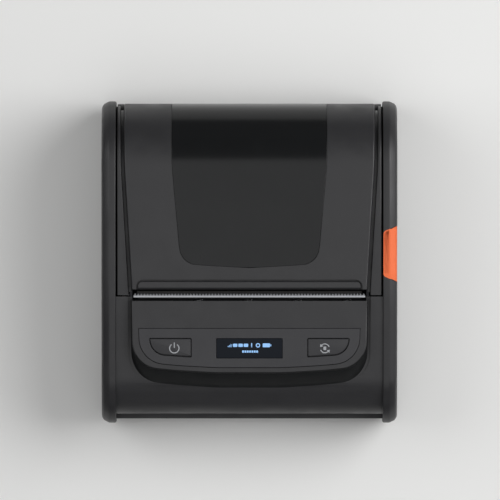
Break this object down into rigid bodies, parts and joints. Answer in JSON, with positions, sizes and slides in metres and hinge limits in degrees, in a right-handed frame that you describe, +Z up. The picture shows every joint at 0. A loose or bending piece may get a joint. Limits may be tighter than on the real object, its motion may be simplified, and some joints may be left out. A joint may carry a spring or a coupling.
{
  "type": "portable thermal printer",
  "caption": "Clamshell portable thermal printer for wide label rolls: raised middle, smoked window, deck with keys and display, orange lid release.",
  "frame": {"origin": "middle of the footprint, on the surface that the rubber feet stand on", "axes": "+Z up, -Y towards the front with the keys, +X towards the side with the orange lid release"},
  "size_m": [0.145, 0.158, 0.072],
  "materials": {
    "case_dark": "fine moulded texture",
    "case_grey": "fine moulded texture",
    "cheek_grey": "fine moulded texture",
    "panel_grey": "satin",
    "key_grey": "satin",
    "smoked_window": "polished smoke",
    "display_black": "polished",
    "display_glass": "polished",
    "orange": "satin",
    "black_rubber": "matte",
    "steel": "brushed",
    "dark_screw": "blackened",
    "white_plastic": "moulded",
    "guide_grey": "moulded",
    "aluminium": "satin",
    "head_dark": "glazed",
    "brass": "turned",
    "board_green": "solder mask",
    "black_plastic": "moulded",
    "cable_white": "film"
  },
  "bodies": {
    "case": {"lower_case": "case_dark", "bay_liner": "case_dark", "deck_case": "case_grey", "left_cheek": "cheek_grey", "right_cheek": "cheek_grey", "panel_insert": "panel_grey", "display_lens": "display_black", "display_module": "display_glass", "rubber_feet": "black_rubber", "hinge_pin": "steel", "idler_pin": "steel", "tear_bar": "steel", "mech_frame": "steel", "hinge_springs": "steel", "head_springs": "steel", "release_spring": "steel", "mech_screws": "steel", "board_screws": "steel", "usb_socket": "steel", "key_switches": "steel", "wireless_module": "steel", "case_screws": "dark_screw", "cheek_screws": "dark_screw", "heat_sink": "aluminium", "stepper_motor": "aluminium", "print_head": "head_dark", "clip_inserts": "brass", "battery_contacts": "brass", "key_board": "board_green", "main_board": "board_green", "power_socket": "black_plastic", "buzzer": "black_plastic", "paper_sensor": "black_plastic", "cover_switch": "black_plastic", "head_cable": "cable_white", "panel_cable": "cable_white"},
    "lid": {"lid_shell": "case_grey", "lid_window": "smoked_window", "lid_nose": "case_grey", "platen_bracket": "steel", "platen_bushes": "white_plastic"},
    "platen": {"platen_roller": "black_rubber", "platen_shaft": "steel", "platen_gear": "white_plastic"},
    "idler": {"idler_gear": "white_plastic"},
    "motor_rotor": {"motor_gear": "brass"},
    "latch": {"latch_bar": "steel"},
    "release": {"release_button": "orange"},
    "power_key": {"power_key": "key_grey"},
    "feed_key": {"feed_key": "key_grey"},
    "left_guide": {"left_guide": "guide_grey"},
    "right_guide": {"right_guide": "guide_grey"},
    "guide_pinion": {"guide_pinion": "white_plastic"},
    "battery": {"battery_pack": "black_plastic"},
    "port_cover": {"port_cover": "black_rubber"}
  },
  "joints": [
    {"name": "lid_hinge", "type": "hinge", "parent": "case", "child": "lid", "pos_m": [0, 0.0713, 0.026], "axis": [-1, 0, 0], "range_deg": [0, 90]},
    {"name": "platen_spin", "type": "hinge", "parent": "lid", "child": "platen", "pos_m": [0, -0.0087, 0.0585], "axis": [1, 0, 0], "continuous": true},
    {"name": "idler_spin", "type": "hinge", "parent": "case", "child": "idler", "pos_m": [-0.0616, -0.0162, 0.04551], "axis": [1, 0, 0], "continuous": true},
    {"name": "motor_spin", "type": "hinge", "parent": "case", "child": "motor_rotor", "pos_m": [-0.0616, -0.02794, 0.048], "axis": [1, 0, 0], "continuous": true},
    {"name": "release_press", "type": "slide", "parent": "case", "child": "release", "axis": [0, 0, -1], "range_m": [0, 0.0025], "stiffness_N_per_m": 800, "deforming": ["release_spring"]},
    {"name": "latch_turn", "type": "hinge", "parent": "case", "child": "latch", "pos_m": [0, -0.009, 0.0445], "axis": [1, 0, 0], "range_deg": [0, 12]},
    {"name": "power_press", "type": "slide", "parent": "case", "child": "power_key", "axis": [0, 0.1222, -0.9925], "range_m": [0, 0.0006], "stiffness_N_per_m": 500},
    {"name": "feed_press", "type": "slide", "parent": "case", "child": "feed_key", "axis": [0, 0.1222, -0.9925], "range_m": [0, 0.0006], "stiffness_N_per_m": 500},
    {"name": "left_guide_slide", "type": "slide", "parent": "case", "child": "left_guide", "axis": [1, 0, 0], "range_m": [0, 0.0355]},
    {"name": "right_guide_slide", "type": "slide", "parent": "case", "child": "right_guide", "axis": [-1, 0, 0], "range_m": [0, 0.0355]},
    {"name": "guide_pinion_turn", "type": "hinge", "parent": "case", "child": "guide_pinion", "pos_m": [0, 0.03, 0.006], "axis": [0, 0, 1], "range_deg": [0, 255]},
    {"name": "battery_slide", "type": "slide", "parent": "case", "child": "battery", "axis": [-1, 0, 0], "range_m": [0, 0.09]},
    {"name": "port_cover_hinge", "type": "hinge", "parent": "case", "child": "port_cover", "pos_m": [-0.07155, -0.043, 0.02805], "axis": [0, -1, 0], "range_deg": [0, 100]}
  ],
  "couplings": [
    {"joint": "idler_spin", "follows": "platen_spin", "ratio": -0.66667},
    {"joint": "motor_spin", "follows": "platen_spin", "ratio": 2},
    {"joint": "latch_turn", "follows": "release_press", "rad_per_m": 83.333},
    {"joint": "right_guide_slide", "follows": "left_guide_slide", "ratio": 1},
    {"joint": "guide_pinion_turn", "follows": "left_guide_slide", "rad_per_m": 125}
  ]
}
